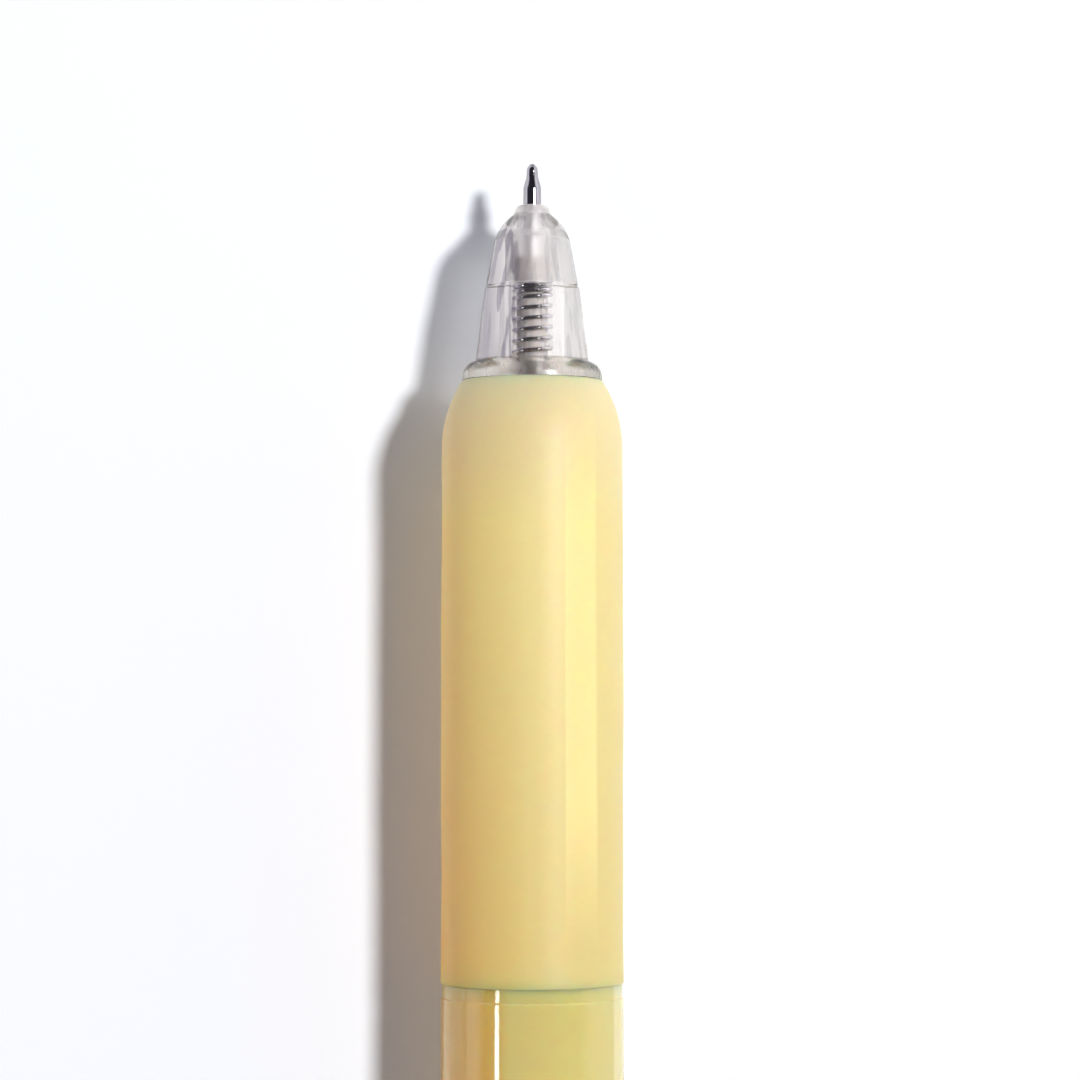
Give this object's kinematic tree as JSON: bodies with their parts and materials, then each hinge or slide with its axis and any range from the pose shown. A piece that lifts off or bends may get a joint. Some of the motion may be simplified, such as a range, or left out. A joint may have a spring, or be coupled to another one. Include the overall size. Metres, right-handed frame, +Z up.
{
  "type": "gel pen",
  "caption": "Retractable gel pen with a soft translucent grip, a clear nose cone over its spring, a spring clip and a push button at the rear",
  "frame": {"origin": "centre of the underside: on the table, halfway along the pen and halfway across the pen and its clip", "axes": "+Y along the pen from the button to the nib, +X to the side that the clip is on, +Z up"},
  "size_m": [0.0156, 0.144, 0.013],
  "materials": {
    "writing_ball": "polished hard metal",
    "ball_tip": "turned and polished stainless steel",
    "tip_holder": "satin",
    "ink_tube": "translucent",
    "gel_ink": "wet gel",
    "follower_grease": "clear gel",
    "tail_plug": "satin",
    "return_spring": "bright drawn wire",
    "nose_cone": "clear, glossy",
    "grip_sleeve": "soft, satin, milky",
    "barrel": "glossy, translucent",
    "cam_sleeve": "satin",
    "rotor_cam": "satin",
    "thrust_cam": "satin",
    "push_button": "glossy, translucent",
    "rear_cap": "clear, glossy",
    "clip": "clear, glossy"
  },
  "bodies": {
    "housing": {"barrel": "barrel", "nose_cone": "nose_cone", "grip_sleeve": "grip_sleeve", "rear_cap": "rear_cap", "clip": "clip", "cam_sleeve": "cam_sleeve", "return_spring": "return_spring"},
    "refill": {"ink_tube": "ink_tube", "tip_holder": "tip_holder", "ball_tip": "ball_tip", "gel_ink": "gel_ink", "follower_grease": "follower_grease", "tail_plug": "tail_plug"},
    "plunger": {"push_button": "push_button", "thrust_cam": "thrust_cam"},
    "rotor": {"rotor_cam": "rotor_cam"},
    "ball": {"writing_ball": "writing_ball"}
  },
  "joints": [
    {"name": "refill_slide", "type": "slide", "parent": "housing", "child": "refill", "axis": [0, -1, 0], "range_m": [-0.0008, 0.006], "stiffness_N_per_m": 150, "deforming": ["return_spring"]},
    {"name": "button_slide", "type": "slide", "parent": "housing", "child": "plunger", "axis": [0, -1, 0], "range_m": [-0.0008, 0.006]},
    {"name": "rotor_turn", "type": "hinge", "parent": "refill", "child": "rotor", "pos_m": [-0.00131, -0.038, 0.0065], "axis": [0, -1, 0], "continuous": true},
    {"name": "ball_roll", "type": "hinge", "parent": "refill", "child": "ball", "pos_m": [-0.00131, 0.07175, 0.0065], "axis": [1, 0, 0], "continuous": true}
  ],
  "couplings": [
    {"joint": "button_slide", "follows": "refill_slide", "ratio": 1}
  ]
}
